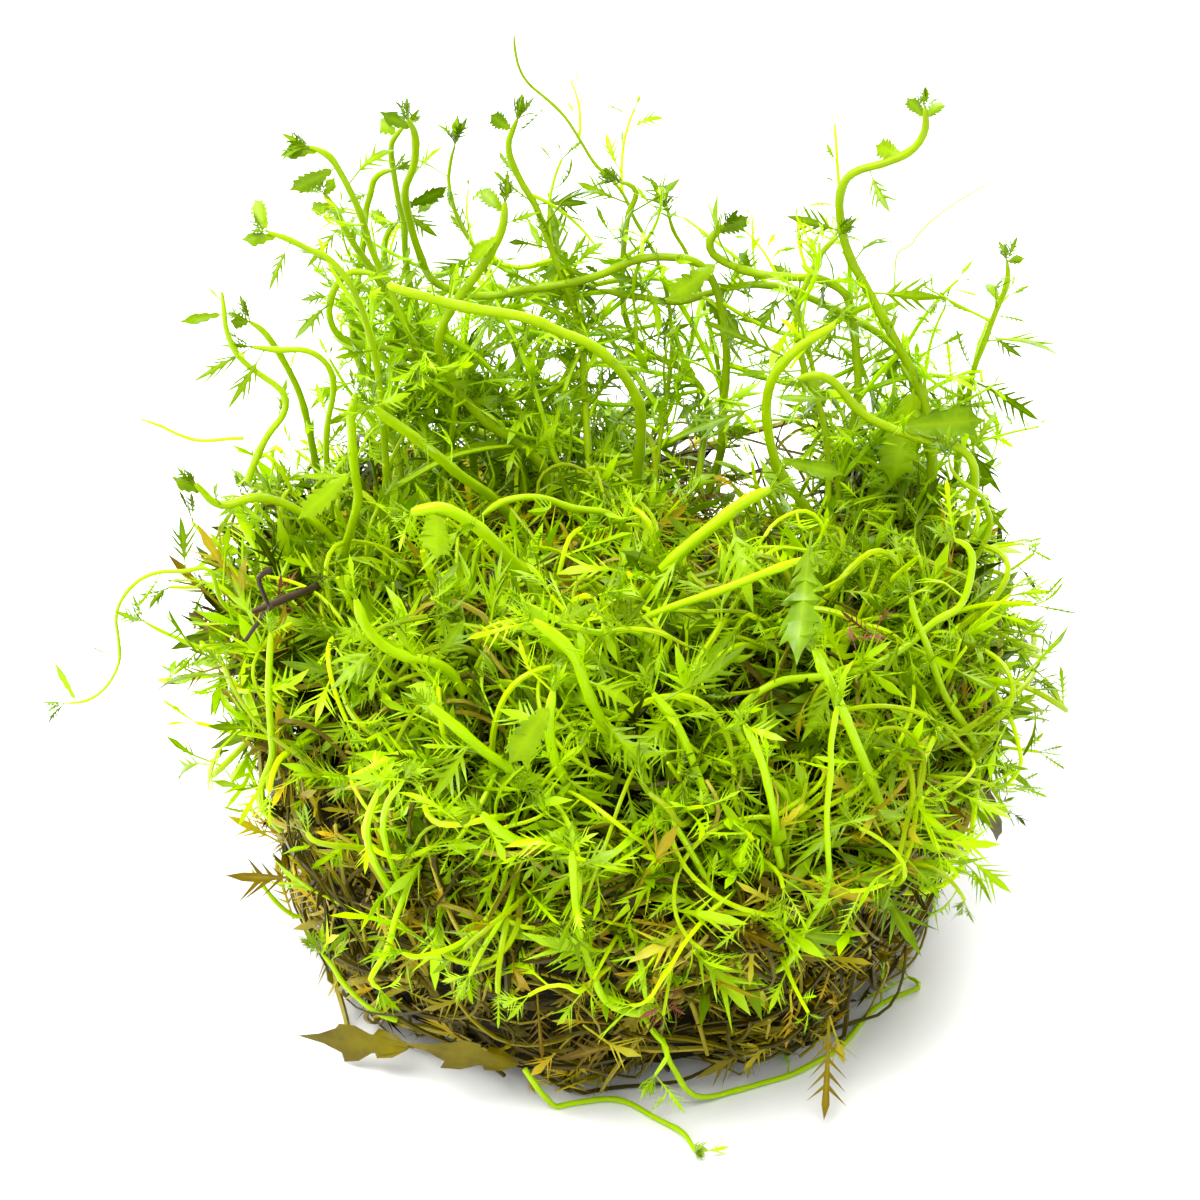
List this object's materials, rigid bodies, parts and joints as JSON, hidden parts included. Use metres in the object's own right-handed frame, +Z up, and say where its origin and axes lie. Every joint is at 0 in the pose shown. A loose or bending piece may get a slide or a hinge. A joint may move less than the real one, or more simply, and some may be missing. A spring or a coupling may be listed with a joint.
{
  "type": "mermaid weed clump",
  "caption": "Clump of a leafy aquarium plant lifted from its cup: a matted plug of old leaves and roots with curling green shoots and toothed leaves.",
  "frame": {"origin": "the middle of the root mat's flat underside, on the surface that the clump stands on", "axes": "+Z up, out of the mat towards the shoots; -Y is the front, as pictured; +X to the right"},
  "size_m": [0.0996, 0.0786, 0.0828],
  "materials": {
    "green_shoot": "satin",
    "young_leaf": "satin",
    "old_mat": "matte",
    "old_leaf": "matte",
    "dead_stem": "matte",
    "dead_leaf": "matte"
  },
  "bodies": {
    "root": {"back_middle_shoot": "green_shoot", "bold_front_shoot": "green_shoot", "budding_left_shoot": "green_shoot", "comb_leaf_shoot": "green_shoot", "dead_dark_stem": "dead_stem", "far_right_shoot": "green_shoot", "fine_bud_shoot": "green_shoot", "front_bow_shoot": "green_shoot", "front_falling_shoot": "green_shoot", "front_left_hook": "green_shoot", "front_right_stem": "green_shoot", "front_runner": "green_shoot", "front_short_stem": "green_shoot", "front_trailing_shoot": "green_shoot", "great_arching_shoot": "green_shoot", "hooked_back_shoot": "green_shoot", "hooked_left_shoot": "green_shoot", "kinked_left_shoot": "green_shoot", "knotted_shoot": "green_shoot", "large_serrate_leaf": "young_leaf", "leafy_left_shoot": "green_shoot", "left_crossing_shoot": "green_shoot", "left_foot_shoot": "green_shoot", "left_hanging_shoot": "green_shoot", "left_runner": "green_shoot", "left_wall_shoot": "green_shoot", "long_crossing_shoot": "green_shoot", "looped_left_shoot": "green_shoot", "looped_runner": "green_shoot", "low_arch_shoot": "green_shoot", "lower_stalk": "green_shoot", "near_bent_shoot": "green_shoot", "near_left_low_shoot": "green_shoot", "near_left_shoot": "green_shoot", "near_low_shoot": "green_shoot", "near_middle_shoot": "green_shoot", "nodding_left_shoot": "green_shoot", "old_foot_leaf": "old_leaf", "old_front_leaf": "old_leaf", "pale_dead_leaf": "dead_leaf", "pale_thread": "green_shoot", "ribbed_left_shoot": "green_shoot", "right_edge_shoot": "green_shoot", "right_falling_shoot": "green_shoot", "right_sweeping_shoot": "green_shoot", "right_upright_shoot": "green_shoot", "root_mat": "old_mat", "s_curve_shoot": "green_shoot", "slender_middle_shoot": "green_shoot", "straight_left_shoot": "green_shoot", "swan_neck_shoot": "green_shoot", "tall_right_shoot": "green_shoot", "thread_shoot": "green_shoot", "trailing_back_shoot": "green_shoot", "two_leaf_shoot": "green_shoot", "upright_left_shoot": "green_shoot", "whorl_side_shoot": "green_shoot", "yellow_stalk": "green_shoot", "young_growth": "young_leaf"}
  },
  "joints": []
}
